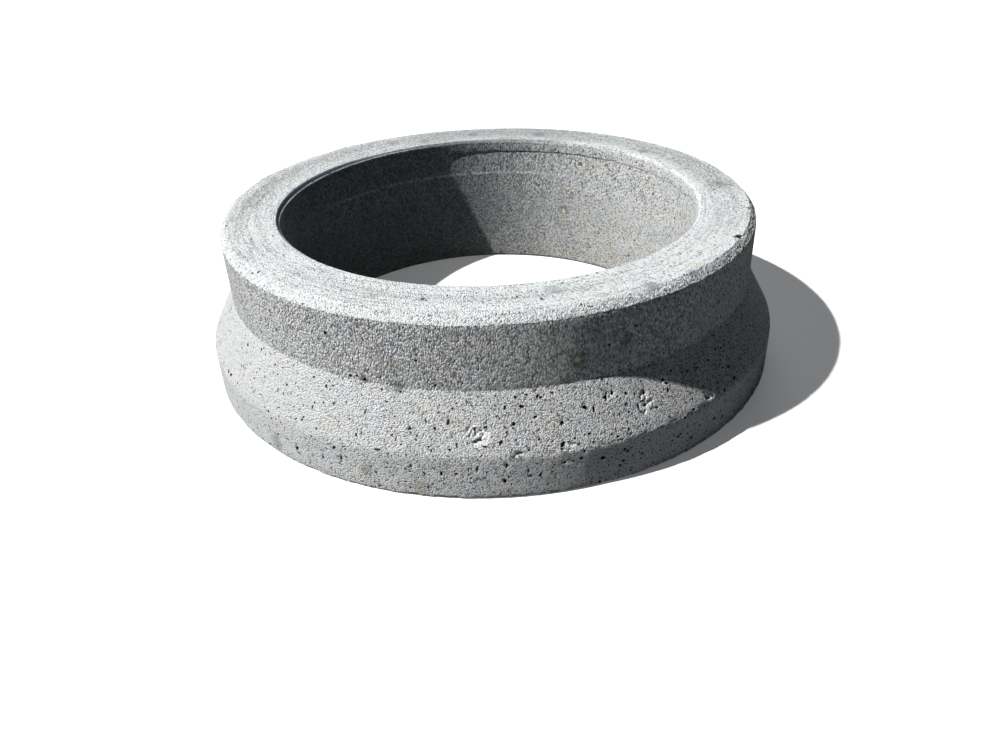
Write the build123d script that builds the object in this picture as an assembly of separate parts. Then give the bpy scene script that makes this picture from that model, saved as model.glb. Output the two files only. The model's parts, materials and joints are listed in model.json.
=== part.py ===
from build123d import *
import os

# Precast manhole cone, cast in one piece in a dry concrete mix.
# It stands wide end down, as it does on a manhole ring, and the cover frame
# beds on its flat top. The whole casting is one section turned about +Z.
# Millimetres, +Z up, origin at the centre of the underside.

# Heights
overall_height = 222.0
base_band_height = 60.0
splay_height = 67.0
throat_depth = 59.0

# Opening and walls, each wall measured outwards from the straight bore
bore_diameter = 600.0
base_wall = 121.0
neck_wall = 83.0

# Shoulder round the outside of the top: a bevel, then a sloping ledge out to the neck
shoulder_bevel_width = 4.0
shoulder_bevel_drop = 7.0
shoulder_ledge_width = 5.5
shoulder_ledge_drop = 3.5

# Throat, and the lip that the press head leaves round its mouth
throat_flare = 4.0
lip_step = 3.0
lip_height = 20.5
rim_ledge_width = 1.5
rim_bevel_width = 4.0
rim_bevel_drop = 4.5

# Corners: bevels at the foot, small roundings elsewhere, and 0 where the edge is crisp
foot_bevel = 3.0
belly_round = 6.0
waist_round = 4.0
neck_round = 1.5
shoulder_round = 3.0
rim_round = 1.5
crisp = 0.0

NODE = "cone_body"


def section_corners():
    """Each corner of the half section as (radius, height, rounding), anticlockwise from the bore's foot."""
    bore = bore_diameter / 2
    base = bore + base_wall
    neck = bore + neck_wall
    shoulder_foot = neck - shoulder_ledge_width
    flat_outer = shoulder_foot - shoulder_bevel_width
    throat = bore + throat_flare
    lip = throat - lip_step
    rim_foot = lip + rim_ledge_width
    flat_inner = rim_foot + rim_bevel_width

    waist_level = base_band_height + splay_height
    shoulder_level = overall_height - shoulder_bevel_drop
    neck_level = shoulder_level - shoulder_ledge_drop
    rim_level = overall_height - rim_bevel_drop
    step_level = overall_height - lip_height
    return [
        (bore + foot_bevel, 0, crisp),
        (base - foot_bevel, 0, crisp),
        (base, foot_bevel, crisp),
        (base, base_band_height, belly_round),
        (neck, waist_level, waist_round),
        (neck, neck_level, neck_round),
        (shoulder_foot, shoulder_level, crisp),
        (flat_outer, overall_height, shoulder_round),
        (flat_inner, overall_height, rim_round),
        (rim_foot, rim_level, crisp),
        (lip, rim_level, crisp),
        (lip, step_level, crisp),
        (throat, step_level, crisp),
        (bore, overall_height - throat_depth, crisp),
        (bore, foot_bevel, crisp),
    ]


def half_section():
    """The half section as a face standing on the XZ plane, to the right of the axis."""
    corners = section_corners()
    points = [(radius, height) for radius, height, _ in corners]
    rounds = [rounding for _, _, rounding in corners]
    with BuildSketch(Plane.XZ) as section:
        with BuildLine():
            FilletPolyline(points, radius=rounds, close=True)
        make_face()
    return section.sketch


def cone_body():
    """The casting: its half section turned once round the vertical axis."""
    return revolve(half_section(), axis=Axis.Z, revolution_arc=360)


def main():
    os.makedirs("parts", exist_ok=True)
    body = cone_body()
    body.label = NODE
    export_step(body, f"parts/{NODE}.step")
    size = body.bounding_box().size
    print(f"{NODE}: {size.X:.1f} x {size.Y:.1f} x {size.Z:.1f} mm, {body.volume / 1e9:.4f} m3")


main()
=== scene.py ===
import json
import math

import bpy
import numpy as np
from mathutils import Euler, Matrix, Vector


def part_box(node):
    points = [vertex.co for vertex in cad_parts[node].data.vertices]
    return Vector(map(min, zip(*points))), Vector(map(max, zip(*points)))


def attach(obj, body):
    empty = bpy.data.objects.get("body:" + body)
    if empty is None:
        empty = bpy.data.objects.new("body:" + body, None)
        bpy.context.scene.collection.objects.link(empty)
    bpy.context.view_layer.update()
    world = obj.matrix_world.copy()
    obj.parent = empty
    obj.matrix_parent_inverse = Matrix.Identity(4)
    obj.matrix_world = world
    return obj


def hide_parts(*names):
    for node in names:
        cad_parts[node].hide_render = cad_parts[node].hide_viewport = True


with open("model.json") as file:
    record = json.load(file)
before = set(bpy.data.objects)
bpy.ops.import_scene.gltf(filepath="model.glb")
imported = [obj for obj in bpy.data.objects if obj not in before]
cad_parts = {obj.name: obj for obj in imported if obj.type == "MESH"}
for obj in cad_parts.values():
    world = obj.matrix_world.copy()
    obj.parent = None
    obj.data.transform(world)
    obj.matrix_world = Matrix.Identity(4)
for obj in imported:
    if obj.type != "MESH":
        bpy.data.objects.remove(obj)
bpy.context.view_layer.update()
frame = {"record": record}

# The finish of a precast manhole cone: one casting in dry grey concrete, turned about +Z.
# Sizes are millimetres where a name or comment says so, and metres in the finished mesh.
MM = 0.001

# Main sizes, read from the frame
HIGH_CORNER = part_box("cone_body")[1]
BASE_RADIUS = HIGH_CORNER.x / MM
HEIGHT = HIGH_CORNER.z / MM
MOUNTS = {mount["name"]: mount for mount in frame["record"]["mounts"]}
BORE_RADIUS = MOUNTS["clear_opening"]["dims"]["r_mm"]

# Section of the casting in mm, as its maker would give it
NECK_WALL = 83.0
BASE_BAND = 60.0
SPLAY = 67.0
THROAT_DEPTH = 59.0
THROAT_FLARE = 4.0
LIP_STEP = 3.0
LIP_HEIGHT = 20.5
RIM_LEDGE = 1.5
RIM_BEVEL = (4.0, 4.5)
SHOULDER_BEVEL = (4.0, 7.0)
SHOULDER_LEDGE = (5.5, 3.5)
SHOULDER_SLOPE = 0.75
FOOT_BEVEL = 3.0

NECK_RADIUS = BORE_RADIUS + NECK_WALL
LEDGE_RADIUS = NECK_RADIUS - SHOULDER_LEDGE[0]
FLAT_OUTER = LEDGE_RADIUS - SHOULDER_BEVEL[0]
THROAT_RADIUS = BORE_RADIUS + THROAT_FLARE
LIP_RADIUS = THROAT_RADIUS - LIP_STEP
FLAT_INNER = LIP_RADIUS + RIM_LEDGE + RIM_BEVEL[0]
WAIST_LEVEL = BASE_BAND + SPLAY
SHOULDER_LEVEL = HEIGHT - SHOULDER_BEVEL[1]
NECK_LEVEL = SHOULDER_LEVEL - SHOULDER_LEDGE[1]
RIM_LEVEL = HEIGHT - RIM_BEVEL[1]
STEP_LEVEL = HEIGHT - LIP_HEIGHT
THROAT_LEVEL = HEIGHT - THROAT_DEPTH

# Each corner of the half section: name, radius, height, rounding, and the spacing of the
# rows of points on the stretch that follows it, all in mm, anticlockwise from the bore's foot
CORNERS = [
    ("underside", BORE_RADIUS + FOOT_BEVEL, 0, 0, 5.0),
    ("foot_edge", BASE_RADIUS - FOOT_BEVEL, 0, 0, 0.9),
    ("base_band", BASE_RADIUS, FOOT_BEVEL, 0, 1.2),
    ("splay", BASE_RADIUS, BASE_BAND, 6.0, 1.2),
    ("neck", NECK_RADIUS, WAIST_LEVEL, 4.0, 1.4),
    ("ledge", NECK_RADIUS, NECK_LEVEL, 1.5, 0.8),
    ("shoulder", LEDGE_RADIUS, SHOULDER_LEVEL, 0, 0.8),
    ("top", FLAT_OUTER, HEIGHT, 3.0, 1.2),
    ("rim", FLAT_INNER, HEIGHT, 1.5, 0.8),
    ("rim_ledge", LIP_RADIUS + RIM_LEDGE, RIM_LEVEL, 0, 0.75),
    ("lip", LIP_RADIUS, RIM_LEVEL, 0, 1.4),
    ("step", LIP_RADIUS, STEP_LEVEL, 0, 0.75),
    ("throat", THROAT_RADIUS, STEP_LEVEL, 0, 2.0),
    ("bore", BORE_RADIUS, THROAT_LEVEL, 0, 2.4),
    ("bore_foot", BORE_RADIUS, FOOT_BEVEL, 0, 1.0),
]
ARC_SPACING = 0.8
COLUMNS_ROUND = 2100
MOST_TRIANGLES = 190000
# Edges that turn by more degrees than this are shaded as sharp
SHARP_ANGLE = 38

# Wear that changes round the ring is eased over so many degrees on both sides, and wanders from
# its amount by this share
EASE_ANGLE = 12.0
WEAR_WANDER = 0.12
# How far a hole or patch can reach from its middle, as a share of its larger size
BLOT_REACH = 0.9

# Width of a grain of sand, the height of the sand's relief, and the spacing of small air holes,
# in mm
SAND_GRAIN = 1.85
SAND_RELIEF = 2.8
PIT_SPACING = 6.0
SPECK_SPACING = 2.6
# How much of its height a pattern on the neck loses where it is drawn out upwards
NECK_DRAW = 0.45
# Rings on the top: swings of their noise per radian round the ring, and per metre across it
RING_NOISE_ROUND = 5.0
RING_NOISE_ACROSS = 260.0

# Colours of painted shade, a blue-black that stands in for the shade inside the mouth, and of the pale
# lines inside the mouth: the throat line and a painted highlight on the ledge inside the rim
PAINTED_SHADE = (0.025, 0.055, 0.085, 1)
PALE_LINE_AND_HIGHLIGHT = (0.84, 0.92, 0.99, 1)


def half_section():
    """The half section as rows of points, and where each named stretch starts along it.

    Each corner with a rounding is replaced by the arc that touches both of its stretches.
    Every stretch is then divided into equal steps no longer than its own spacing. Returns the
    rows as (radius, height, outward normal) arrays with their distance along the section."""
    points, spacings, names = [], [], []
    count = len(CORNERS)
    for index, (name, radius, height, rounding, spacing) in enumerate(CORNERS):
        corner = np.array([radius, height], float)
        before = np.array(CORNERS[index - 1][1:3], float) - corner
        after = np.array(CORNERS[(index + 1) % count][1:3], float) - corner
        before /= np.linalg.norm(before)
        after /= np.linalg.norm(after)
        names.append((name, len(points)))
        if rounding == 0:
            points.append(corner)
            spacings.append(spacing)
            continue
        turn = math.pi - math.acos(np.clip(before @ after, -1, 1))
        reach = rounding * math.tan(turn / 2)
        halfway = (before + after) / np.linalg.norm(before + after)
        middle = corner + halfway * rounding / math.cos(turn / 2)
        first = corner + before * reach - middle
        last = corner + after * reach - middle
        parts = max(2, math.ceil(rounding * turn / ARC_SPACING))
        for part in range(parts + 1):
            share = part / parts
            arm = first * math.sin((1 - share) * turn) + last * math.sin(share * turn)
            points.append(middle + arm / math.sin(turn))
            spacings.append(ARC_SPACING if part < parts else spacing)
    points = np.array(points)
    rows, starts = [], {}
    labels = dict((start, name) for name, start in names)
    for index, point in enumerate(points):
        if index in labels:
            starts[labels[index]] = len(rows)
        ahead = points[(index + 1) % len(points)] - point
        steps = max(1, math.ceil(np.linalg.norm(ahead) / spacings[index]))
        rows.extend(point + ahead * step / steps for step in range(steps))
    rows = np.array(rows)
    ahead = np.roll(rows, -1, axis=0) - rows
    along = np.concatenate([[0], np.cumsum(np.linalg.norm(ahead, axis=1))[:-1]])
    unit = ahead / np.linalg.norm(ahead, axis=1)[:, None]
    tangent = unit + np.roll(unit, 1, axis=0)
    tangent /= np.linalg.norm(tangent, axis=1)[:, None]
    normal = np.stack([tangent[:, 1], -tangent[:, 0]], axis=1)
    return rows, normal, along, {name: along[row] for name, row in starts.items()}


def smoothstep(value, low, high):
    """0 below low, 1 above high, and a smooth S between them."""
    share = np.clip((value - low) / (high - low), 0, 1)
    return share * share * (3 - 2 * share)


class Skin:
    """The casting's surface as a grid of rows along the section by columns round the axis.

    move is how far each point is shifted outwards and upwards, in mm, and depth is how far it is
    then worn into the concrete along the section's normal.
    The mask for holes is 0 to 1 in the bottoms of holes and in the deepest crags of broken skin, where
    the colour is darkened as painted shade, and broken is 0 to 1 where the skin has come off."""

    def __init__(self):
        self.rows, self.normal, self.along, self.start = half_section()
        self.turns = np.arange(COLUMNS_ROUND) / COLUMNS_ROUND
        self.move = np.zeros((len(self.rows), COLUMNS_ROUND, 2))
        self.depth = np.zeros((len(self.rows), COLUMNS_ROUND))
        self.hollow = np.zeros_like(self.depth)
        self.broken = np.zeros_like(self.depth)

    def noise(self, cell_round, cell_along, seed):
        """Random heights from -1 to 1 on a lattice that closes on itself round the ring, eased
        from one lattice point to the next. The two cell sizes are in mm, round and along."""
        cells = max(8, round(2 * math.pi * NECK_RADIUS / cell_round))
        lanes = math.ceil(self.along[-1] / cell_along) + 2
        lattice = np.random.default_rng(seed).uniform(-1, 1, (lanes, cells))
        place = self.along / cell_along
        lane = np.floor(place).astype(int)
        share = (place - lane)[:, None]
        share = share * share * (3 - 2 * share)
        turn = self.turns * cells
        cell = np.floor(turn).astype(int)
        part = (turn - cell)[None, :]
        part = part * part * (3 - 2 * part)
        eased = lattice[:, cell] * (1 - part) + lattice[:, (cell + 1) % cells] * part
        return eased[lane] * (1 - share) + eased[lane + 1] * share

    def stretch(self, first, last, soft):
        """1 on the rows between two named starts, fading to 0 over soft mm outside them."""
        low = self.start[first]
        high = self.start[last]
        rise = smoothstep(self.along, low - soft, low)
        fall = 1 - smoothstep(self.along, high, high + soft)
        return (rise * fall)[:, None]

    def round_ring(self, spots):
        """A value that changes round the ring, from a list of angle and value. Lines join them,
        and a bell-shaped average over some degrees on both sides rounds the kinks."""
        angles, values = np.array(spots, float).T
        lines = np.interp(self.turns * 360, angles, values, period=360)
        reach = round(EASE_ANGLE / 360 * COLUMNS_ROUND)
        bell = np.hanning(2 * reach + 1)
        return np.convolve(np.pad(lines, reach, mode="wrap"), bell / bell.sum(), "valid")

    def shift_corner(self, name, spots):
        """Moves a corner of the section by an amount that changes round the ring. spots lists
        angle, outwards and upwards. The move fades to nothing at the corners on either side."""
        names = list(self.start)
        here = names.index(name)
        ends = [self.start[names[here - 1]], self.start[name], self.start[names[here + 1]]]
        share = np.interp(self.along, ends, [0, 1, 0])
        uneven = 1 + WEAR_WANDER * self.noise(38, 400, 70 + here)[:1]
        for axis in (0, 1):
            amount = self.round_ring([(spot[0], spot[1 + axis]) for spot in spots])
            self.move[..., axis] += share[:, None] * amount * uneven

    def rub_slope(self, spots):
        """Rubs the shoulder down to a cone: nothing stays higher than HEIGHT less the cone's
        steepness times the distance outside a radius that changes round the ring."""
        radius = self.rows[:, 0, None] + self.move[..., 0]
        height = self.rows[:, 1, None] + self.move[..., 1]
        cone = HEIGHT - SHOULDER_SLOPE * np.clip(radius - self.round_ring(spots), 0, None)
        self.move[..., 1] += np.minimum(height, cone) - height

    def near(self, place, width):
        """A bell curve along the section, 1 at a place and small past a width in mm."""
        return np.exp(-((self.along - place) / width) ** 2)[:, None]

    def window(self, angle, place, reach):
        """The part of the grid within reach mm of a spot, and each point's distance from it
        round the ring and along the section."""
        radius = np.interp(place, self.along, self.rows[:, 0])
        rows = np.nonzero(np.abs(self.along - place) < reach)[0]
        half = math.ceil(reach / (2 * math.pi * radius) * COLUMNS_ROUND)
        columns = np.arange(-half, half + 1) + round(angle / 360 * COLUMNS_ROUND)
        across = (columns / COLUMNS_ROUND - angle / 360) * 2 * math.pi * radius
        up = self.along[rows] - place
        return np.ix_(rows, columns % COLUMNS_ROUND), across[None, :], up[:, None]

    def blot(self, across, up, wide, tall, draw):
        """Distance from a spot's middle as a share of its rim, in an uneven oval: the rim swells
        and shrinks with the bearing as a sum of four cosines of random size and turn."""
        bearing = np.arctan2(up / tall, across / wide)
        wobble = 0
        for order in (1, 2, 3, 5):
            swing = draw.uniform(0.08, 0.34) / math.sqrt(order)
            wobble = wobble + swing * np.cos(order * bearing + draw.uniform(0, 6.28))
        return np.hypot(across / wide, up / tall) * 2 / (1 + wobble)

    def hole(self, angle, place, wide, tall, deep, seed):
        """An air hole: a steep uneven bowl, deep * (1 - distance^3)^(1/3) inside its rim. Its mask of
        painted shade, which darkens the colour as the shade inside the hole, reaches a little over the
        rim, and is weaker where the hole is shallow."""
        window, across, up = self.window(angle, place, BLOT_REACH * max(wide, tall))
        share = self.blot(across, up, wide, tall, np.random.default_rng(seed))
        bowl = np.cbrt(np.clip(1 - share ** 3, 0, 1))
        self.depth[window] = np.maximum(self.depth[window], self.depth[window] * 0.3 + deep * bowl)
        dark = smoothstep(share, 1.12, 0.85) * min(1, deep / 1.2)
        self.hollow[window] = np.maximum(self.hollow[window], dark)

    def spall(self, angle, place, wide, tall, deep, seed):
        """A patch where the skin has come off: an uneven shallow tray with a craggy bottom."""
        window, across, up = self.window(angle, place, BLOT_REACH * max(wide, tall))
        share = self.blot(across, up, wide, tall, np.random.default_rng(seed))
        tray = smoothstep(share, 1.0, 0.7)
        crag = self.noise(4.0, 3.4, seed)[window] + 0.9 * self.noise(2.6, 2.4, seed + 1)[window]
        self.depth[window] += deep * tray * np.clip(0.5 + crag, 0, 1.9)
        # The deepest crags are darkened as painted shade
        self.hollow[window] = np.maximum(self.hollow[window], tray * smoothstep(crag, 0.7, 1.1))
        self.broken[window] = np.maximum(self.broken[window], tray)

    def scatter(self, count, first, last, sizes, seed, lean=1.0, tall=1.0):
        """Air holes strewn at random between two named starts. Small ones are the most common:
        a width is low + (high - low) * random^4. lean pulls them towards the first start."""
        draw = np.random.default_rng(seed)
        low, high = self.start[first], self.start[last]
        for number in range(count):
            share = draw.random() ** lean
            size = sizes[0] + (sizes[1] - sizes[0]) * draw.random() ** 4
            self.hole(
                draw.uniform(0, 360), low + (high - low) * share,
                size * draw.uniform(0.75, 1.2), size * draw.uniform(0.8, 1.4) * tall,
                size * draw.uniform(0.4, 0.7), seed * 10007 + number,
            )

    def outside(self, height):
        """The distance along the section of a height on the outside, in mm."""
        rows = slice(*np.searchsorted(self.along, (self.start["base_band"], self.start["top"])))
        return float(np.interp(height, self.rows[rows, 1], self.along[rows]))

    def above(self, radius):
        """The distance along the section of a radius on the top, in mm."""
        rows = slice(*np.searchsorted(self.along, (self.start["ledge"], self.start["lip"])))
        return float(np.interp(-radius, -self.rows[rows, 0], self.along[rows]))

    def crumble(self, place, width, deep, cell, seed, amount=1.0):
        """A worn edge: the arris is eaten back by up to deep mm in an uneven line. amount is a
        share of that, and may change round the ring."""
        eaten = 0.45 + 0.5 * self.noise(cell, cell * 0.6, seed)
        eaten += 0.4 * self.noise(cell * 0.35, cell * 0.25, seed + 1)
        self.depth += self.near(place, width) * deep * np.clip(eaten, 0, 1.4) * amount


# Holes that stand out on the outside: angle round the ring in degrees (0 is +X, -90 the
# front), height above the underside, width and height of the hole in mm
OUTSIDE_HOLES = [
    (-148.0, 67, 5, 4), (-146.5, 67, 5, 4), (-143.0, 88, 2, 5), (-142.2, 87, 2, 4),
    (-142.0, 74, 3, 2), (-134.9, 74, 4, 2), (-133.3, 113, 3, 2.5), (-131.6, 63, 3, 2),
    (-129.3, 72, 4, 2), (-128.7, 99, 3, 3), (-126.7, 105, 2.5, 2.5), (-124.7, 69, 2.5, 2.5),
    (-123.3, 70, 2.5, 2.5), (-122.8, 118, 2.5, 2.5), (-121.7, 87, 2.5, 4), (-118.8, 111, 2, 2),
    (-117.4, 98, 4, 2.5), (-113.8, 86, 2.5, 2.5), (-112.2, 72, 2.5, 4), (-111.1, 96, 2, 5),
    (-108.6, 122, 2.5, 2.5), (-108.1, 61, 7, 3), (-105.8, 78, 2, 3), (-105.1, 74, 2, 4),
    (-104.1, 70, 2.5, 2.5), (-101.5, 80, 2.5, 2.5), (-100.2, 96, 2, 3), (-99.6, 70, 2.5, 2.5),
    (-99.0, 66, 2, 4), (-98.7, 89, 2.5, 4), (-96.5, 95, 2.5, 8), (-95.0, 73, 2.5, 6),
    (-87.0, 110, 2.5, 5), (-86.9, 84, 2, 6), (-85.7, 93, 5, 4), (-85.1, 120, 4, 3),
    (-84.2, 110, 5, 3), (-83.2, 121, 3, 2.5), (-82.1, 98, 4, 3), (-80.8, 117, 4, 2.5),
    (-81.9, 76, 3, 3), (-78.2, 67, 4, 6), (-77.8, 89, 5, 3.5), (-76.6, 91, 3, 2),
    (-76.0, 72, 2.5, 4), (-75.5, 65, 3, 2.5), (-73.5, 73, 4, 3), (-73.0, 64, 3, 2.5),
    (-72.1, 97, 2.5, 7), (-73.6, 101, 4, 6), (-69.7, 106, 3.5, 6), (-69.4, 110, 2.5, 6),
    (-68.3, 109, 4, 4), (-67.4, 104, 3, 3), (-68.8, 64, 4, 3), (-69.8, 68, 3, 2.5),
    (-67.7, 85, 2, 5), (-66.9, 101, 2, 4), (-66.2, 94, 2.5, 5), (-65.7, 105, 4, 3.5),
    (-64.2, 101, 3, 2.5), (-66.4, 63, 3, 2), (-62.2, 112, 2.5, 2.5), (-57.8, 106, 5, 4),
    (-57.3, 101, 4, 3), (-53.2, 63, 4, 2.5), (-49.8, 70, 3, 9), (-48.2, 65, 4, 3),
    (-78.0, 68, 2.5, 7), (-78.4, 63, 4, 3), (-52.0, 104, 4, 2.5), (-49.7, 102, 5, 2),
    (-46.2, 103, 4, 3), (-43.1, 109, 4, 3), (-41.4, 106, 4, 3), (-44.8, 64, 4, 3),
    (-41.5, 83, 4, 4), (-41.0, 67, 7, 4), (-133.0, 7, 5, 4), (-129.5, 34, 3.5, 4),
    (-127.1, 33, 3, 4), (-115.1, 36, 1.8, 10), (-119.1, 29, 2.5, 5), (-108.8, 26, 2.5, 3),
    (-106.8, 37, 2.5, 3), (-105.8, 27, 3, 3), (-102.6, 44, 2, 6), (-100.0, 15, 2, 5),
    (-97.6, 37, 3, 5), (-95.3, 37, 5, 2.5), (-94.3, 26, 2, 3), (-93.3, 43, 2, 5),
    (-91.9, 43, 2.5, 6), (-87.2, 47, 1.8, 7), (-86.6, 20, 2, 3), (-83.8, 38, 2, 5),
    (-83.6, 31, 3, 3), (-81.9, 30, 3.5, 4), (-78.0, 44, 4, 2.5), (-71.4, 40, 6, 4),
    (-67.6, 44, 4, 3), (-67.0, 40, 4, 3), (-67.7, 28, 5, 2.5), (-64.2, 30, 3, 2.5),
    (-64.8, 34, 2, 3), (-63.0, 46, 3, 2), (-56.7, 34, 3.5, 2.5), (-53.5, 22, 5, 4),
    (-47.5, 31, 4, 4), (-68.3, 22, 3, 3), (-114.8, 131, 5, 3), (-113.3, 133, 2.5, 2.5),
    (-112.0, 129.5, 5, 4), (-119.0, 183, 4, 4), (-55.3, 143, 3, 2.5), (-59.5, 137, 3, 2.5),
    (-63.2, 184, 2.5, 2.5), (-66.0, 130, 3, 2.5), (-90.4, 91, 5, 2.2), (-92.1, 87, 2.5, 8),
    (-91.4, 78.5, 6, 2.5), (-90.5, 72, 6, 2.2), (-64.0, 87, 2.2, 8), (-61.2, 84, 2.2, 5),
    (-60.6, 81, 5, 2.2), (-63.2, 92, 5, 2.2),
]

# The same on the top: angle, radius, width round the ring and width across it
TOP_HOLES = [
    (-167.0, 370, 4, 3), (-164.5, 331, 4, 2.5), (-140.2, 375, 3, 2.5), (-138.7, 370, 3, 3),
    (-79.2, 348, 4, 5), (-83.6, 337, 2, 3), (-71.8, 375, 3, 2.5), (-54.7, 327, 3, 2.5),
    (-49.3, 331, 2.5, 2.5), (-28.9, 369.5, 15, 9), (-12.0, 371, 6, 5), (5.0, 346, 3.5, 2.5),
    (0.8, 332, 4, 2.5), (3.2, 361, 3, 2), (-101.8, 341, 3, 4),
]

# Patches of broken skin: angle, height, width, height of the patch and depth
SPALLS = [
    (-91.2, 82, 30, 30, 2.0), (-62.3, 87, 26, 24, 1.9), (-85.5, 62, 14, 9, 2.0),
    (-77.2, 65, 17, 12, 1.7), (-108.6, 6.5, 12, 6, 2.2), (-49.0, 67, 16, 9, 1.4),
    (-68.4, 108, 13, 12, 1.2), (-57.6, 104, 14, 11, 1.2),
]

# How wear and the press move the corners of the section, round the ring: angle, outwards and
# upwards in mm. The shoulder is almost square at the back left and rubbed to one slope at the
# front left. The rim is cut back most on the right, and the throat's undercut is nearly gone there.
WORN_CORNERS = {
    "ledge": [
        (-178, 0, 3.4), (-158, 0, 1), (-120, 0, 0), (90, 0, 0), (118, 0, 5.4), (168, 0, 6.4),
    ],
    "shoulder": [
        (-178, 4.3, 4.5), (-155, 1.2, 2.2), (-85, 0.4, 1.7), (-60, 1.6, 0.8), (-10, 1.6, 0.8),
        (20, 0.5, 0), (95, 0.5, 0.7), (122, 5.0, 5.6), (170, 5.0, 5.7),
    ],
    "top": [
        (-178, 5.0, 0), (-155, 0, 0), (20, 1.0, 0), (95, 1.8, 0), (122, 7.4, 0), (170, 7.4, 0),
    ],
    "rim": [
        (-170, 0.5, 0), (-150, -3.0, 0), (-60, -2.5, 0), (-20, 1.0, 0), (25, 1.5, 0), (60, 0.5, 0),
        (105, 2.5, 0), (155, 3.0, 0),
    ],
    "rim_ledge": [
        (-178, 0, -1.6), (-150, -0.6, 2.4), (-60, -0.6, 2.4), (-20, -0.3, -3.0), (25, -0.4, -3.8),
        (50, -0.3, -2.5), (75, 0, -0.4), (120, 0, 0), (170, 0, -1.8),
    ],
    "lip": [
        (-178, 0, -1.6), (-150, 0, 2.4), (-60, 0, 2.4), (-20, 0, -7.0), (25, 0, -8.5),
        (50, 0, -5.5), (75, 0, -1.0), (120, 0, 0), (170, 0, -1.8),
    ],
    "throat": [
        (-90, -1.6, 0), (-20, -2.4, 0), (30, -2.2, 0), (60, -1.7, 0), (105, -1.6, 0),
        (130, -0.8, 0), (170, -0.8, 0),
    ],
}

# Where the rubbed slope of the shoulder starts: angle and radius in mm
SLOPE_START = [(-172, 384), (-150, 371), (-90, 369), (-60, 371), (-40, 373), (-15, 384), (180, 384)]


def weather(skin):
    """All the wear on the casting, from broad to fine."""
    start = skin.start
    outside = skin.stretch("base_band", "ledge", 2)
    inside = skin.stretch("throat", "bore_foot", 2)
    top = skin.stretch("top", "rim", 1)
    shoulder = skin.stretch("ledge", "top", 1.5)

    for corner, spots in WORN_CORNERS.items():
        skin.shift_corner(corner, spots)
    skin.rub_slope(SLOPE_START)

    # Broad unevenness of the cast faces
    swell = 0.5 + 0.5 * skin.noise(110, 60, 11)
    ripple = 0.5 + 0.5 * skin.noise(26, 20, 12)
    grit = 0.5 + 0.5 * skin.noise(6, 5, 13)
    skin.depth += (outside + inside) * (0.35 * swell + 0.22 * ripple + 0.12 * grit)

    # Rings that the turning press head leaves on the top, long round the ring and narrow across it
    rings = 0.5 + 0.5 * skin.noise(420, 6, 21)
    fine_rings = 0.5 + 0.5 * skin.noise(160, 3, 22)
    skin.depth += top * (0.45 * rings + 0.2 * fine_rings + 0.12 * grit)

    # The shoulder is rough, because the mix tears there as the head lifts, and most on the right
    torn = np.clip(skin.noise(4.6, 3.2, 31) + 0.9 * skin.noise(2.6, 2.0, 32) + 0.15, 0, 2)
    roughest = skin.round_ring(
        [(-175, 0.3), (-110, 0.4), (-70, 0.8), (-40, 1.0), (40, 1.0), (120, 0.4)])
    skin.depth += shoulder * 0.75 * torn * roughest

    # Worn edges
    skin.crumble(start["splay"] + 1.5, 2.5, 0.8, 9, 41)
    rubbed_belly = skin.round_ring([(-110, 0.3), (-92, 1), (-60, 1), (-30, 0.3)])
    skin.crumble(start["splay"] + 1.5, 5.0, 0.9, 18, 43, rubbed_belly)
    skin.crumble(start["foot_edge"] + 2, 3.0, 1.8, 9, 44)
    skin.crumble(start["neck"] + 1, 2.0, 0.5, 10, 47)
    skin.crumble(start["ledge"], 1.6, 0.8, 9, 50, roughest)
    skin.crumble(start["top"], 1.8, 0.9, 11, 53, roughest)
    skin.crumble(start["rim"], 1.5, 0.7, 8, 56)
    skin.crumble(start["lip"], 1.2, 0.6, 8, 59)
    skin.crumble(start["step"], 1.4, 0.9, 6, 62)

    for number, (angle, height, wide, tall, deep) in enumerate(SPALLS):
        skin.spall(angle, skin.outside(height), wide, tall, deep, 300 + 2 * number)
    for number, (angle, height, wide, tall) in enumerate(OUTSIDE_HOLES):
        deep = 0.6 * min(wide, tall) + 0.3
        skin.hole(angle, skin.outside(height), wide, tall, deep, 400 + number)
    for number, (angle, radius, wide, tall) in enumerate(TOP_HOLES):
        skin.hole(angle, skin.above(radius), wide, tall, 0.6 * min(wide, tall), 600 + number)

    # Other air holes left by the dry mix: most on the splay and the base band
    skin.scatter(330, "splay", "neck", (1.6, 4.2), 101, lean=1.3, tall=1.1)
    skin.scatter(220, "base_band", "splay", (1.6, 4.0), 102, tall=1.2)
    skin.scatter(50, "neck", "ledge", (1.6, 3.4), 103, lean=1.6)
    skin.scatter(36, "top", "rim", (1.6, 3.2), 104)
    skin.scatter(70, "throat", "bore_foot", (1.6, 3.6), 105)


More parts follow.
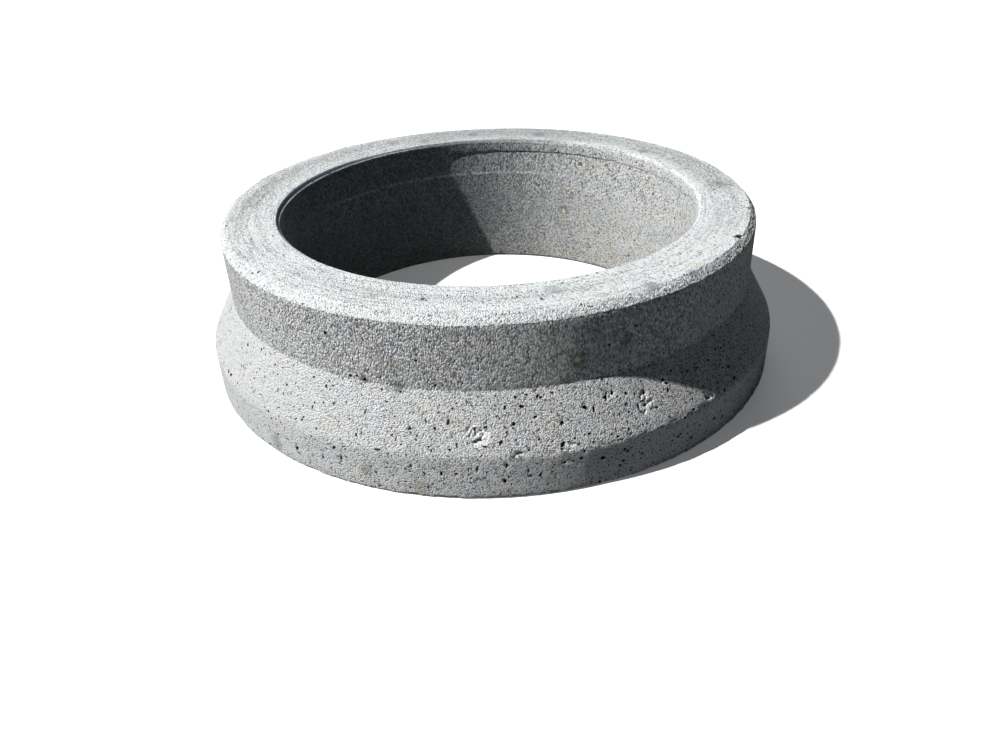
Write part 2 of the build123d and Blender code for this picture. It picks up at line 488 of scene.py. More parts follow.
def casting():
    """The whole casting: the half section turned round the axis, with its wear.

    A point of the section is moved, worn in by its depth along the normal, and turned by its
    column's angle. The grid closes on itself both ways, so it has no seam and no pole. The flat
    stretches are then thinned."""
    skin = Skin()
    weather(skin)
    shift = skin.move - np.clip(skin.depth, 0, 20)[..., None] * skin.normal[:, None, :]
    radius = (skin.rows[:, None, 0] + shift[..., 0]) * MM
    height = (skin.rows[:, None, 1] + shift[..., 1]) * MM
    angle = 2 * math.pi * skin.turns[None, :]
    points = np.stack([radius * np.cos(angle), radius * np.sin(angle), height], axis=-1)

    here = np.arange(skin.depth.size).reshape(skin.depth.shape)
    beside = np.roll(here, -1, axis=1)
    corners = [here, beside, np.roll(beside, -1, axis=0), np.roll(here, -1, axis=0)]
    quads = np.stack(corners, axis=-1).reshape(-1, 4)

    mesh = bpy.data.meshes.new("casting_grid")
    mesh.vertices.add(skin.depth.size)
    mesh.vertices.foreach_set("co", points.astype(np.float32).ravel())
    mesh.loops.add(quads.size)
    mesh.loops.foreach_set("vertex_index", quads.astype(np.int32).ravel())
    mesh.polygons.add(len(quads))
    mesh.polygons.foreach_set("loop_start", np.arange(0, quads.size, 4, dtype=np.int32))
    mesh.update(calc_edges=True)
    for name, values in (("hollow", skin.hollow), ("broken", skin.broken)):
        layer = mesh.attributes.new(name, "FLOAT", "POINT")
        layer.data.foreach_set("value", values.astype(np.float32).ravel())

    piece = bpy.data.objects.new("concrete_casting", mesh)
    bpy.context.scene.collection.objects.link(piece)
    thin = piece.modifiers.new("thin the flat stretches", "DECIMATE")
    thin.ratio = min(1, MOST_TRIANGLES / (2 * len(quads)))
    graph = bpy.context.evaluated_depsgraph_get()
    finished = bpy.data.meshes.new_from_object(
        piece.evaluated_get(graph), preserve_all_data_layers=True, depsgraph=graph)
    piece.modifiers.clear()
    piece.data = finished
    bpy.data.meshes.remove(mesh)
    finished.polygons.foreach_set("use_smooth", np.ones(len(finished.polygons), bool))
    finished.set_sharp_from_angle(angle=math.radians(SHARP_ANGLE))
    return piece


class Graph:
    """A short way to write a node tree: each call adds nodes and gives back their output."""

    def __init__(self, tree):
        self.tree = tree

    def node(self, kind, settings=None, **feeds):
        """Adds a node of a kind, with its settings and what is fed to its named inputs."""
        added = self.tree.nodes.new("ShaderNode" + kind)
        for name, value in (settings or {}).items():
            setattr(added, name, value)
        for name, value in feeds.items():
            self.feed(added.inputs[name.replace("_", " ")], value)
        return added

    def feed(self, socket, value):
        if isinstance(value, bpy.types.NodeSocket):
            self.tree.links.new(value, socket)
        else:
            socket.default_value = value

    def give(self, name, value):
        """Puts a value out of the group under a name."""
        self.feed(self.tree.nodes["Group Output"].inputs[name], value)

    def maths(self, operation, *values):
        added = self.node("Math", {"operation": operation})
        for socket, value in zip(added.inputs, values):
            self.feed(socket, value)
        return added.outputs[0]

    def times(self, *values):
        """The product of some numbers and masks."""
        product = values[0]
        for value in values[1:]:
            product = self.maths("MULTIPLY", product, value)
        return product

    def plus(self, first, second):
        return self.maths("ADD", first, second)

    def less(self, first, second):
        return self.maths("SUBTRACT", first, second)

    def vector(self, operation, *values):
        added = self.node("VectorMath", {"operation": operation})
        for socket, value in zip(added.inputs, values):
            self.feed(socket, value)
        gives_number = operation in ("LENGTH", "DOT_PRODUCT")
        return added.outputs["Value" if gives_number else "Vector"]

    def scaled(self, value, number):
        """A vector times a number."""
        return self.node(
            "VectorMath", {"operation": "SCALE"}, Vector=value, Scale=number).outputs[0]

    def ease(self, value, low, high, start=0.0, end=1.0):
        """start below low, end above high, and a smooth S between them."""
        return self.node(
            "MapRange", {"interpolation_type": "SMOOTHSTEP"}, Value=value,
            From_Min=low, From_Max=high, To_Min=start, To_Max=end).outputs[0]

    def noise(self, vector, scale, detail=2.0, roughness=0.5):
        added = self.node(
            "TexNoise", Vector=vector, Scale=scale, Detail=detail, Roughness=roughness)
        return added.outputs[0]

    def mix(self, share, below, above):
        """Colour below where share is 0 and colour above where it is 1."""
        added = self.node("Mix", {"data_type": "RGBA"})
        self.feed(added.inputs[0], share)
        self.feed(added.inputs[6], below)
        self.feed(added.inputs[7], above)
        return added.outputs[2]

    def camera_sees(self, seen, unseen):
        """One shader for what the camera sees and another for the light that falls elsewhere."""
        path = self.node("LightPath").outputs
        mixed = self.node("MixShader", Fac=path["Is Camera Ray"])
        self.feed(mixed.inputs[1], unseen.outputs[0])
        self.feed(mixed.inputs[2], seen.outputs[0])
        return mixed.outputs[0]

    def tint(self, colour, cast):
        """A colour times a cast."""
        mixed = self.mix(1.0, colour, cast)
        mixed.node.blend_type = "MULTIPLY"
        return mixed

    def group(self, tree, **feeds):
        return self.node("Group", {"node_tree": tree}, **feeds).outputs


def cleared(owner):
    """The node tree of a material or a world, emptied."""
    owner.use_nodes = True
    owner.node_tree.nodes.clear()
    return owner.node_tree


def new_group(name, inputs, outputs):
    """An empty shader group: its graph and its inputs. Each socket is named with its start value
    if it is a number, and with None if it is a vector."""
    tree = bpy.data.node_groups.new(name, "ShaderNodeTree")
    for way, sockets in ("INPUT", inputs), ("OUTPUT", outputs):
        for label, start in sockets.items():
            kind = "NodeSocketVector" if start is None else "NodeSocketFloat"
            socket = tree.interface.new_socket(label, in_out=way, socket_type=kind)
            if start is not None:
                socket.default_value = start
    entry = tree.nodes.new("NodeGroupInput")
    tree.nodes.new("NodeGroupOutput")
    return Graph(tree), entry.outputs


def ring_place_group():
    """Where a point is on the ring: its radius and height, and the unit arm towards it."""
    graph, given = new_group("ring place", {"Place": None}, {"Radius": 0.0, "Height": 0.0, "Arm": None})
    apart = graph.node("SeparateXYZ", Vector=given["Place"]).outputs
    flat = graph.node("CombineXYZ", X=apart["X"], Y=apart["Y"]).outputs[0]
    graph.give("Radius", graph.vector("LENGTH", flat))
    graph.give("Height", apart["Z"])
    graph.give("Arm", graph.vector("NORMALIZE", flat))
    return graph.tree


def sand_group():
    """Sand under a thin cement skin: its height in mm, and where dark and pale grains show.

    Height is a foam of domes, each 1 less the distance to its middle and raised by chance, with
    finer and coarser noise over it. Dark is the gaps between the domes, the low parts of the finer
    noise and some domes picked by chance. Pale is its high parts and some other domes."""
    graph, given = new_group(
        "sand", {"Place": None, "Grain": 2.4, "Relief": 0.5}, {"Dark": 0.0, "Pale": 0.0, "Height": 0.0})
    scale = graph.maths("DIVIDE", 1000.0, given["Grain"])
    grains = graph.node("TexVoronoi", Vector=given["Place"], Scale=scale)
    domes = grains.outputs["Distance"]
    chance = graph.node("SeparateColor", Color=grains.outputs["Color"]).outputs
    coarse = graph.noise(given["Place"], graph.times(scale, 0.33), 2.0, 0.55)
    fine = graph.noise(given["Place"], graph.times(scale, 1.2), 2.0, 0.8)
    height = graph.plus(graph.times(coarse, 0.6), graph.times(fine, 1.2))
    height = graph.less(height, graph.times(domes, 0.9))
    height = graph.plus(height, graph.times(chance[1], 0.5))
    graph.give("Height", graph.times(height, given["Relief"]))
    gaps = graph.ease(domes, 0.55, 0.90)
    low = graph.maths("MAXIMUM", graph.ease(fine, 0.41, 0.35), graph.ease(chance[0], 0.17, 0.13))
    graph.give("Dark", graph.maths("MAXIMUM", low, graph.times(gaps, 0.35)))
    high = graph.maths("MAXIMUM", graph.ease(fine, 0.54, 0.64), graph.ease(chance[0], 0.60, 0.70))
    graph.give("Pale", graph.times(high, graph.less(1.0, gaps)))
    return graph.tree


def pinhole_group():
    """Small air holes: balls of random size in some cells of a random foam, cut by the surface.
    The place is first bent by a fine noise, so that they aren't round. Spacing is in mm and Size
    is the largest radius as a share of it. Mask is 1 in a hole."""
    graph, given = new_group(
        "pinholes", {"Place": None, "Spacing": 6.0, "Amount": 0.4, "Size": 0.3}, {"Mask": 0.0})
    scale = graph.maths("DIVIDE", 1000.0, given["Spacing"])
    bend = graph.node("TexNoise", Vector=given["Place"], Scale=520.0, Detail=1.0)
    bend = graph.vector("SUBTRACT", bend.outputs["Color"], (0.5, 0.5, 0.5))
    ragged = graph.vector("ADD", given["Place"], graph.scaled(bend, 2.2 * MM))
    cells = graph.node("TexVoronoi", Vector=ragged, Scale=scale)
    chance = graph.node("SeparateColor", Color=cells.outputs["Color"]).outputs
    chosen = graph.maths("LESS_THAN", chance[0], given["Amount"])
    size = graph.times(given["Size"], graph.ease(chance[1], 0.0, 1.0, 0.3, 1.0))
    edge = graph.times(size, 0.6)
    inside = graph.ease(cells.outputs["Distance"], edge, graph.plus(size, 0.001), 1.0, 0.0)
    graph.give("Mask", graph.times(inside, chosen))
    return graph.tree


def stain_group():
    """One ragged blot round a centre: 1 at its middle, fading to 0 at its reach in metres."""
    graph, given = new_group(
        "stain", {"Place": None, "Ragged": 0.5, "Centre": None, "Reach": 0.01, "Tall": 1.0},
        {"Mask": 0.0})
    apart = graph.vector("SUBTRACT", given["Place"], given["Centre"])
    flatter = graph.maths("DIVIDE", 1.0, given["Tall"])
    squeeze = graph.node("CombineXYZ", X=1.0, Y=1.0, Z=flatter).outputs[0]
    apart = graph.vector("MULTIPLY", apart, squeeze)
    far = graph.maths("DIVIDE", graph.vector("LENGTH", apart), given["Reach"])
    uneven = graph.times(graph.less(given["Ragged"], 0.5), 1.5)
    graph.give("Mask", graph.ease(graph.plus(far, uneven), 1.0, 0.35))
    return graph.tree


def arc_band_group():
    """A soft band along part of the ring: 1 at its middle radius and bearing, 0 past its width
    in metres, or past its spread, which is the cosine of half the angle that it covers."""
    graph, given = new_group(
        "arc band",
        {"Radius": 0.0, "Arm": None, "Ragged": 0.5, "Towards": None, "Middle": 0.3, "Width": 0.01,
         "Spread": 0.5},
        {"Mask": 0.0})
    off = graph.maths("ABSOLUTE", graph.less(given["Radius"], given["Middle"]))
    off = graph.maths("DIVIDE", off, given["Width"])
    off = graph.plus(off, graph.times(graph.less(given["Ragged"], 0.5), 0.9))
    facing = graph.vector("DOT_PRODUCT", given["Arm"], given["Towards"])
    along = graph.ease(graph.less(facing, given["Spread"]), 0.0, 0.12)
    graph.give("Mask", graph.times(graph.ease(off, 1.0, 0.3), along))
    return graph.tree


def grey(tone, warmth=0.0):
    """A concrete grey of a given lightness. Warmth 0 is the faintly blue grey of dry cement,
    and 1 is tan."""
    cool = np.array([0.985, 1.0, 0.99])
    tan = np.array([1.10, 1.0, 0.80])
    return (*(tone * (cool + (tan - cool) * warmth)), 1.0)


def towards(bearing):
    """The unit arm that points to a bearing in degrees."""
    turn = math.radians(bearing)
    return (math.cos(turn), math.sin(turn), 0)


# Stains: angle, radius, height in mm, reach in mm, how tall against wide, strength and colour
STAINS = [
    (-110.5, 421, 27, 10, 1.6, 0.50, grey(0.26, 1.1)),
    (-101.0, 421, 16, 11, 1.6, 0.55, grey(0.42, 1.1)),
    (-130.5, 421, 18, 14, 1.4, 0.45, grey(0.22)),
    (-85.5, 419, 61, 12, 0.8, 0.60, grey(0.20)),
    (-74.1, 383, 157, 13, 1.2, 0.70, grey(0.16, 1.3)),
    (-74.1, 383, 157, 5.5, 0.9, 1.00, grey(0.78, 1.0)),
    (-65.0, 383, 168, 11, 1.0, 0.65, grey(0.16, 1.6)),
    (-105.5, 383, 128, 14, 0.7, 0.75, grey(0.20)),
    (-112.0, 383, 130, 10, 0.6, 0.70, grey(0.18)),
    (-106.0, 383, 155, 18, 0.8, 0.35, grey(0.32, 0.8)),
    (-96.0, 383, 205, 9, 0.7, 0.45, grey(0.36, 0.9)),
    (-165.0, 383, 190, 22, 1.2, 0.35, grey(0.44, 1.0)),
    (-46.0, 364, 222, 15, 1.0, 0.35, grey(0.70, 0.9)),
    (-95.3, 368, 222, 9, 1.0, 0.40, grey(0.58, 1.1)),
    (-107.0, 374, 221, 7, 1.0, 0.35, grey(0.56, 1.0)),
    (-31.0, 375, 220, 9, 1.0, 0.80, grey(0.56, 0.9)),
    (-57.5, 311, 222, 9, 1.0, 0.40, grey(0.66, 0.9)),
    (-58.5, 369, 222, 13, 1.0, 0.60, grey(0.26)),
    (-49.0, 373, 222, 10, 1.0, 0.50, grey(0.26)),
    (-101.8, 341, 222, 7, 1.0, 0.60, grey(0.24)),
    (-76.0, 328, 222, 14, 1.0, 0.45, grey(0.30)),
    (38.0, 328, 222, 13, 1.0, 0.60, grey(0.22)),
    (4.0, 348, 222, 16, 1.0, 0.50, grey(0.22)),
    (75.0, 335, 222, 16, 1.0, 0.55, grey(0.24)),
    (95.0, 338, 222, 14, 1.0, 0.50, grey(0.26)),
    (111.0, 325, 222, 13, 1.0, 0.55, grey(0.24)),
    (120.0, 345, 222, 15, 1.0, 0.50, grey(0.26)),
    (72.0, 372, 222, 13, 1.0, 0.45, grey(0.44, 1.3)),
    (142.0, 362, 222, 14, 1.0, 0.40, grey(0.46, 1.2)),
    (64.0, 300, 97, 10, 1.2, 0.70, grey(0.14, 1.2)),
    (64.2, 300, 95.5, 6, 1.0, 1.00, grey(1.0, 0.6)),
]

# Bands along the top: bearing, half the angle covered, radius and half width in mm, strength
# and colour
TOP_BANDS = [
    (92, 95, 348, 40, 0.85, grey(0.35)),
    (5, 40, 345, 30, 0.40, grey(0.34)),
    (-182, 26, 357, 18, 0.65, grey(0.36, 0.3)),
    (-98, 38, 337, 13, 0.50, grey(0.40)),
    (-62, 22, 330, 9, 0.35, grey(0.42)),
    (-160, 60, 329, 14, 0.60, grey(0.92)),
    (-125, 75, 371, 11, 0.75, grey(0.95)),
    (-60, 50, 347, 7, 0.45, grey(0.92)),
    (98, 22, 368, 6, 0.50, grey(0.80)),
    (30, 90, 308, 8, 0.85, grey(0.92)),
    (128, 30, 312, 1.8, 0.75, grey(0.10)),
    (112, 26, 319, 1.4, 0.50, grey(0.20)),
]


class Cast(Graph):
    """The casting's shader graph, with where a point is on the ring and which face it is on.

    Each face, or zone, is 1 on the face and 0 off it. cloud, patch and ragged are noises from
    broad to fine."""

    def __init__(self, tree):
        super().__init__(tree)
        self.place = self.node("TexCoord").outputs["Object"]
        ring = self.group(RING_PLACE, Place=self.place)
        self.radius, self.level, self.arm = ring["Radius"], ring["Height"], ring["Arm"]
        self.cloud = self.noise(self.place, 8.0, 4.0, 0.6)
        self.patch = self.noise(self.place, 42.0, 3.0, 0.65)
        self.ragged = self.noise(self.place, 190.0, 3.0, 0.7)
        self.rings = self.top_rings()
        self.zone = self.faces()
        self.upper = self.maths("MAXIMUM", self.zone["top"], self.zone["shoulder"])
        # The left, which faces the key lamp; colour made paler by this mask is painted light
        self.left = self.facing(196, 0.2, 0.95)
        # The side of the bore that the key lamp leaves in shade; colour made darker by this mask is
        # painted shade
        self.shady = self.facing(130, -0.1, 0.8)
        # The right of the base band; colour made paler by this mask is painted light bounced up from
        # the floor
        self.base_right = self.times(
            self.facing(-30, 0.5, 0.95), self.up(BASE_BAND - 1, BASE_BAND - 6), self.zone["lower"])

    def lay(self, colour, tint, amount, *masks):
        """A colour with a tint over it, as strong as the product of an amount and some masks."""
        return self.mix(self.times(amount, *masks), colour, tint)

    def facing(self, bearing, low, high, start=0.0, end=1.0):
        """How nearly a point's side of the ring faces a bearing in degrees: the cosine of the
        angle between them, eased from start at low to end at high."""
        cosine = self.vector("DOT_PRODUCT", self.arm, towards(bearing))
        return self.ease(cosine, low, high, start, end)

    def up(self, low, high):
        """The height, eased from 0 at the first level to 1 at the second, both in mm."""
        return self.ease(self.level, low * MM, high * MM)

    def out(self, low, high):
        """The distance from the axis, eased from 0 at the first in mm to 1 at the second."""
        return self.ease(self.radius, low * MM, high * MM)

    def near(self, value, middle, width):
        """1 where a value is at a middle, easing to 0 at a width on either side, both in mm."""
        off = self.maths("ABSOLUTE", self.less(value, middle * MM))
        return self.ease(off, width * MM, 0.0)

    def faces(self):
        """The zones by name, from the section's radii and heights."""
        above_waist = self.up(WAIST_LEVEL - 1, WAIST_LEVEL + 2)
        below_lip = self.up(STEP_LEVEL + 1, STEP_LEVEL - 1)
        outside = self.out(LEDGE_RADIUS, LEDGE_RADIUS + 2)
        return {
            "top": self.times(
                self.up(HEIGHT - 6, HEIGHT - 3), self.out(FLAT_OUTER + 2.5, FLAT_OUTER - 0.5)),
            "neck": self.times(outside, above_waist),
            "lower": self.times(outside, self.less(1.0, above_waist)),
            "inside": self.times(self.out(FLAT_INNER + 1, FLAT_INNER), below_lip),
            "lip": self.times(self.out(FLAT_INNER, FLAT_INNER - 1.5), self.less(1.0, below_lip)),
            "shoulder": self.times(
                self.up(NECK_LEVEL - 0.5, NECK_LEVEL + 0.5),
                self.out(FLAT_OUTER + 0.5, FLAT_OUTER + 2.5)),
        }

    def drawn_out(self):
        """A place whose height grows more slowly between the waist and the neck's top, so that a
        pattern on it is drawn out upwards there, as the mould leaves it when it is lifted off."""
        climbed = self.node(
            "Clamp", Value=self.less(self.level, WAIST_LEVEL * MM),
            Max=(NECK_LEVEL - WAIST_LEVEL) * MM).outputs[0]
        held_back = self.node("CombineXYZ", Z=self.times(climbed, NECK_DRAW)).outputs[0]
        return self.vector("SUBTRACT", self.place, held_back)

    def top_rings(self):
        """Fine rings that follow the press head: noise drawn out long round the ring and kept
        narrow across it."""
        swept = self.scaled(self.arm, RING_NOISE_ROUND)
        across = self.node("CombineXYZ", Z=self.times(self.radius, RING_NOISE_ACROSS)).outputs[0]
        return self.noise(self.vector("ADD", swept, across), 1.0, 3.0, 0.6)


def outside_cement(cast):
    """Greys of the outside: paler on the left, which is painted light where the key lamp falls, and at
    the right of the base, which is painted light bounced up from the floor; darker on the neck, and
    darker towards the front, which is painted shade on the front of the neck and the front right of the
    belly."""
    zone = cast.zone
    colour = cast.mix(cast.ease(cast.cloud, 0.3, 0.7), grey(0.80), grey(0.96))
    colour = cast.lay(colour, grey(0.54), 0.30, cast.ease(cast.patch, 0.48, 0.72))
    # Painted light: the lower faces are paler on the left, where the key lamp falls
    colour = cast.lay(colour, grey(1.0), 0.75, cast.left, zone["lower"])
    colour = cast.lay(colour, grey(0.45, 0.2), 0.45, zone["neck"])
    # Painted shade: the neck is darker at the front, where the key lamp's light only grazes it
    colour = cast.lay(colour, grey(0.26), 0.42, cast.facing(-80, 0.6, 0.98), zone["neck"])
    # Painted shade: the splay is darker at the front right, on the key lamp's shadow side
    splay_front = cast.times(cast.facing(-62, 0.72, 1.0), cast.up(BASE_BAND - 4, BASE_BAND + 6))
    colour = cast.lay(colour, grey(0.28), 0.30, splay_front, zone["lower"])
    # Painted light: the base band is paler at the right, as from light bounced up off the floor
    return cast.lay(colour, grey(1.0), 0.70, cast.base_right)


def top_cement(cast):
    """Greys of the top: broad soft bands, and fine rings where the press head turned."""
    top = cast.mix(cast.ease(cast.patch, 0.35, 0.65), grey(0.95), grey(1.0))
    for bearing, half, middle, width, strength, tint in TOP_BANDS:
        band = cast.group(
            ARC_BAND, Radius=cast.radius, Arm=cast.arm, Ragged=cast.patch, Towards=towards(bearing),
            Middle=middle * MM, Width=width * MM, Spread=math.cos(math.radians(half)))["Mask"]
        top = cast.lay(top, tint, strength, band)
    top = cast.lay(top, grey(0.42), 0.75, cast.ease(cast.rings, 0.5, 0.36))
    return cast.lay(top, grey(1.0), 0.60, cast.ease(cast.rings, 0.53, 0.66))


def bore_cement(cast):
    """Greys of the bore: darker on its shady side, which is painted shade, and in blots, and tan
    towards the foot.
    """
    bore = cast.mix(cast.ease(cast.patch, 0.3, 0.7), grey(0.72, 0.1), grey(0.90, 0.1))
    bore = cast.lay(bore, grey(0.26), 0.68, cast.shady)
    blots = cast.ease(cast.noise(cast.place, 55.0, 4.0, 0.65), 0.54, 0.68)
    bore = cast.lay(bore, grey(0.30), 0.45, blots)
    return cast.lay(bore, grey(0.52, 1.1), 0.60, cast.up(75, 8), cast.ease(cast.cloud, 0.3, 0.6))


def cement(cast):
    """The cement skin of all faces, with the lip darkened on its shady side as painted shade. The
    shoulder is pale at the front left, and elsewhere torn, with dark hollows and pale crumbs."""
    zone = cast.zone
    colour = cast.mix(zone["top"], outside_cement(cast), top_cement(cast))
    colour = cast.mix(zone["inside"], colour, bore_cement(cast))
    # Painted shade on the lip, on the side that the key lamp leaves in shade
    colour = cast.lay(colour, grey(0.24), 0.80, zone["lip"], cast.shady)
    front_left = cast.facing(220, 0.35, 0.75)
    colour = cast.lay(colour, grey(0.95), 0.80, zone["shoulder"], front_left)
    torn = cast.times(zone["shoulder"], cast.less(1.0, front_left))
    colour = cast.lay(colour, grey(0.18), 0.70, torn, cast.ease(cast.ragged, 0.52, 0.40))
    return cast.lay(colour, grey(1.0), 0.90, torn, cast.ease(cast.ragged, 0.50, 0.62))


def with_grains(cast, colour, sand):
    """Grains of sand, fewer dark ones on the top and more in the bore, and fewer again on the left of
    the lower faces and at the right of the base, as painted light there; and a slow shift of the grey
    between a warm and a cool tinge, coolest on top."""
    dark = cast.less(0.80, cast.times(0.15, cast.upper))
    dark = cast.plus(dark, cast.times(0.15, cast.zone["inside"]))
    # Fewer dark grains on the lit left of the lower faces paint light there
    dark = cast.less(dark, cast.times(0.45, cast.left, cast.zone["lower"]))
    # Fewer dark grains at the right of the base paint the light bounced up from the floor
    dark = cast.less(dark, cast.times(0.30, cast.base_right))
    colour = cast.lay(colour, grey(0.14), dark, sand["Dark"])
    colour = cast.lay(colour, grey(1.0), 0.80, sand["Pale"])
    slow = cast.ease(cast.noise(cast.place, 34.0, 2.0, 0.5), 0.36, 0.64)
    tinge = cast.mix(slow, (1.015, 1.0, 0.975, 1), (0.985, 1.0, 1.015, 1))
    tinge = cast.lay(tinge, (0.975, 1.0, 1.02, 1), 0.70, cast.upper)
    return cast.tint(colour, tinge)


def with_mouth_marks(cast, colour):
    """The top darker at the back, painted shade down the shaded side of the bore and on the rim's bevel
    there, and the pale lines inside the mouth: a painted highlight on the rim's ledge, and the throat
    line, which is made fainter in the shade."""
    zone = cast.zone
    colour = cast.lay(colour, grey(0.30), 0.30, cast.facing(88, 0.8, 1.0), zone["top"])
    # Painted shade: the mouth is darkened on the side that the key lamp leaves in shade
    mouth = cast.maths("MAXIMUM", zone["inside"], zone["lip"])
    colour = cast.lay(colour, PAINTED_SHADE, 0.66, cast.facing(150, 0.0, 0.9), mouth)

    # The ledge inside the rim is a pale line at the back left, a painted highlight where it catches the
    # key lamp, between the bevel, darkened as painted shade, and the bore
    bevel = cast.times(
        cast.up(HEIGHT - 1.0, HEIGHT - 1.8), cast.up(RIM_LEVEL - 2, RIM_LEVEL - 1),
        cast.out(FLAT_INNER + 4, FLAT_INNER + 3))
    colour = cast.lay(colour, PAINTED_SHADE, 0.85, bevel, cast.facing(170, 0.72, 0.92))
    ledge = cast.times(
        cast.near(cast.radius, LIP_RADIUS + 0.8, 2.0), cast.up(RIM_LEVEL - 4, RIM_LEVEL - 2.5),
        cast.ease(cast.ragged, 0.38, 0.52))
    colour = cast.lay(colour, PALE_LINE_AND_HIGHLIGHT, 0.95, ledge, cast.facing(150, 0.66, 0.92))

    # The pale line where the throat meets the bore, most at the back. It is partly a line in the cement
    # and partly painted light: it is made fainter in the shade
    line = cast.times(
        cast.near(cast.level, THROAT_LEVEL - 1, 4.5), cast.ease(cast.ragged, 0.42, 0.58),
        cast.facing(100, 0.35, 0.9), cast.facing(150, 0.60, 0.80, 1.0, 0.45))
    return cast.lay(colour, PALE_LINE_AND_HIGHLIGHT, 0.85, line, zone["inside"])


def with_dirt(cast, colour):
    """Dirt that gathers in the waist and at the foot, and the stains."""
    waist = cast.times(cast.near(cast.level, WAIST_LEVEL + 2, 8), cast.ease(cast.patch, 0.52, 0.68))
    colour = cast.lay(colour, grey(0.26), 0.45, waist, cast.zone["neck"])
    colour = cast.lay(colour, grey(0.40, 0.6), 0.40, cast.up(16, 1), cast.ease(cast.patch, 0.35, 0.65))
    for angle, from_axis, height, reach, tall, strength, tint in STAINS:
        centre = Vector(towards(angle)) * from_axis * MM + Vector((0, 0, height * MM))
        blot = cast.group(
            STAIN, Place=cast.place, Ragged=cast.ragged, Centre=centre, Reach=reach * MM,
            Tall=tall)["Mask"]
        colour = cast.lay(colour, tint, strength, blot)
    return colour


def concrete_material():
    """Dry-cast concrete: pale cement skin, sand grain, air holes, turned rings on the top.

    The relief is the sand's height, less on the top, in broken skin and in holes, less the
    pinholes and plus the rings."""
    material = bpy.data.materials.new("dry_cast_concrete")
    cast = Cast(cleared(material))
    hollow = cast.node("Attribute", {"attribute_name": "hollow"}).outputs["Fac"]
    broken = cast.node("Attribute", {"attribute_name": "broken"}).outputs["Fac"]
    sand = cast.group(SAND, Place=cast.drawn_out(), Grain=SAND_GRAIN, Relief=SAND_RELIEF)

    # Small air holes, most on the splay and the base band, in drifts
    holes = cast.plus(cast.times(0.42, cast.zone["lower"]), 0.16)
    holes = cast.plus(holes, cast.times(0.25, cast.left, cast.zone["lower"]))
    holes = cast.times(holes, cast.ease(cast.cloud, 0.3, 0.7, 0.45, 1.6))
    pits = cast.group(PINHOLES, Place=cast.place, Spacing=PIT_SPACING, Amount=holes)["Mask"]
    specks = cast.group(PINHOLES, Place=cast.place, Spacing=SPECK_SPACING, Amount=holes)["Mask"]

    colour = with_grains(cast, cement(cast), sand)
    colour = with_mouth_marks(cast, colour)
    colour = with_dirt(cast, colour)

    # Broken skin shows chalky crumbs and stones, and the pits, specks and bottoms of holes are darkened
    # as painted shade inside them
    chalk = cast.mix(cast.ease(cast.ragged, 0.38, 0.5), grey(0.50, 0.1), grey(1.0, 0.08))
    colour = cast.mix(cast.ease(broken, 0.1, 0.6, 0.0, 0.90), colour, chalk)
    colour = cast.lay(colour, grey(0.10), 0.85, specks)
    colour = cast.lay(colour, grey(0.03), 0.95, pits)
    colour = cast.mix(cast.ease(hollow, 0.1, 0.7, 0.0, 0.98), colour, grey(0.015))

    relief = cast.times(
        sand["Height"], cast.less(1.0, cast.times(0.38, cast.upper)),
        cast.ease(broken, 0.2, 0.9, 1.0, 0.60), cast.ease(hollow, 0.1, 0.7, 1.0, 0.3))
    relief = cast.less(relief, cast.times(0.9, pits))
    relief = cast.less(relief, cast.times(0.3, specks))
    relief = cast.plus(relief, cast.times(0.5, cast.rings, cast.zone["top"]))
    bump = cast.node("Bump", Height=relief, Strength=1.0, Distance=MM).outputs[0]

    rough = cast.ease(cast.patch, 0.3, 0.7, 0.95, 0.85)
    shader = cast.node("BsdfPrincipled", Base_Color=colour, Roughness=rough, Normal=bump)
    shader.inputs["Specular IOR Level"].default_value = 0.25
    cast.node("OutputMaterial", Surface=shader.outputs[0])
    return material


def floor_material():
    """A plain white floor. What the camera sees of it is lifted to white, apart from the shadow."""
    material = bpy.data.materials.new("studio_floor")
    graph = Graph(cleared(material))
    plain = graph.node("BsdfDiffuse", Color=(0.16, 0.17, 0.18, 1))
    seen = graph.node("BsdfDiffuse", Color=(0.95, 0.95, 0.95, 1))
    lift = graph.node("Emission", Color=(1, 1, 1, 1), Strength=0.12)
    lifted = graph.node("AddShader")
    graph.feed(lifted.inputs[0], seen.outputs[0])
    graph.feed(lifted.inputs[1], lift.outputs[0])
    graph.node("OutputMaterial", Surface=graph.camera_sees(lifted, plain))
    return material


def studio_floor():
    """A flat square floor far wider than the view, a hair under the casting's underside."""
    half = 20.0
    mesh = bpy.data.meshes.new("studio_floor")
    mesh.from_pydata(
        [(-half, -half, 0), (half, -half, 0), (half, half, 0), (-half, half, 0)], [], [(0, 1, 2, 3)])
    floor = bpy.data.objects.new("studio_floor", mesh)
    bpy.context.scene.collection.objects.link(floor)
    floor.location.z = -0.0002
    floor.data.materials.append(floor_material())


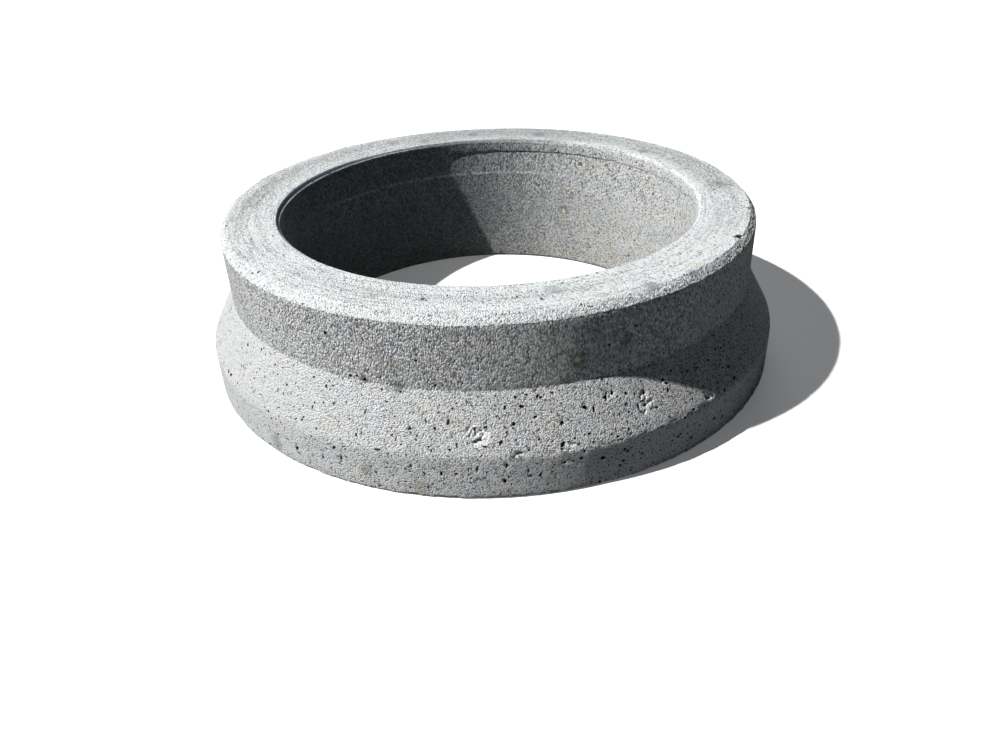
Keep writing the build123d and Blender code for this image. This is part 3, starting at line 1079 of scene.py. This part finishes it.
# The camera: focal length in mm, place in metres, and turn, downward tilt and roll in degrees
FOCAL_LENGTH = 29.92
CAMERA_PLACE = (0.0319, -1.1805, 0.6370)
CAMERA_YAW = 1.15
CAMERA_PITCH = 31.49
CAMERA_ROLL = -2.20


def camera():
    """The camera where the photo was taken from: in front, above and almost level."""
    lens = bpy.data.cameras.new("camera")
    lens.sensor_width = 36.0
    lens.lens = FOCAL_LENGTH
    stand = bpy.data.objects.new("camera", lens)
    bpy.context.scene.collection.objects.link(stand)
    turns = (0, 0, CAMERA_YAW), (90 - CAMERA_PITCH, 0, 0), (0, 0, CAMERA_ROLL)
    yaw, pitch, roll = [Euler([math.radians(angle) for angle in turn]).to_matrix() for turn in turns]
    stand.rotation_euler = (yaw @ pitch @ roll).to_euler()
    stand.location = CAMERA_PLACE
    bpy.context.scene.camera = stand


# Lamps: name, strength at which 1 shows a facing colour as written, then width, bearing and
# height in degrees
KEY_LAMP = ("key", 1.66, 1.2, 197, 50)
BACK_LAMP = ("back_fill", 0.22, 40, 84, 16)


def lights():
    """A key lamp high on the left, a weak broad one low behind, and an even pale surround."""
    for name, strength, spread, bearing, rise in KEY_LAMP, BACK_LAMP:
        light = bpy.data.lights.new(name, "SUN")
        light.energy = math.pi * strength
        light.angle = math.radians(spread)
        lamp = bpy.data.objects.new(name, light)
        bpy.context.scene.collection.objects.link(lamp)
        tilt = math.radians(rise)
        away = Vector(towards(bearing)) * math.cos(tilt) + Vector((0, 0, math.sin(tilt)))
        lamp.rotation_euler = away.to_track_quat("Z", "Y").to_euler()

    world = bpy.data.worlds.new("studio")
    bpy.context.scene.world = world
    graph = Graph(cleared(world))
    fill = graph.node("Background", Color=(0.70, 0.92, 1.18, 1), Strength=0.021)
    white = graph.node("Background", Color=(1, 1, 1, 1), Strength=1.0)
    graph.node("OutputWorld", Surface=graph.camera_sees(white, fill))


RING_PLACE = ring_place_group()
SAND = sand_group()
PINHOLES = pinhole_group()
STAIN = stain_group()
ARC_BAND = arc_band_group()

camera()
lights()
studio_floor()
bpy.context.scene.view_settings.view_transform = "Standard"

body = casting()
body.data.materials.append(concrete_material())
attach(body, "root")
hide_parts("cone_body")
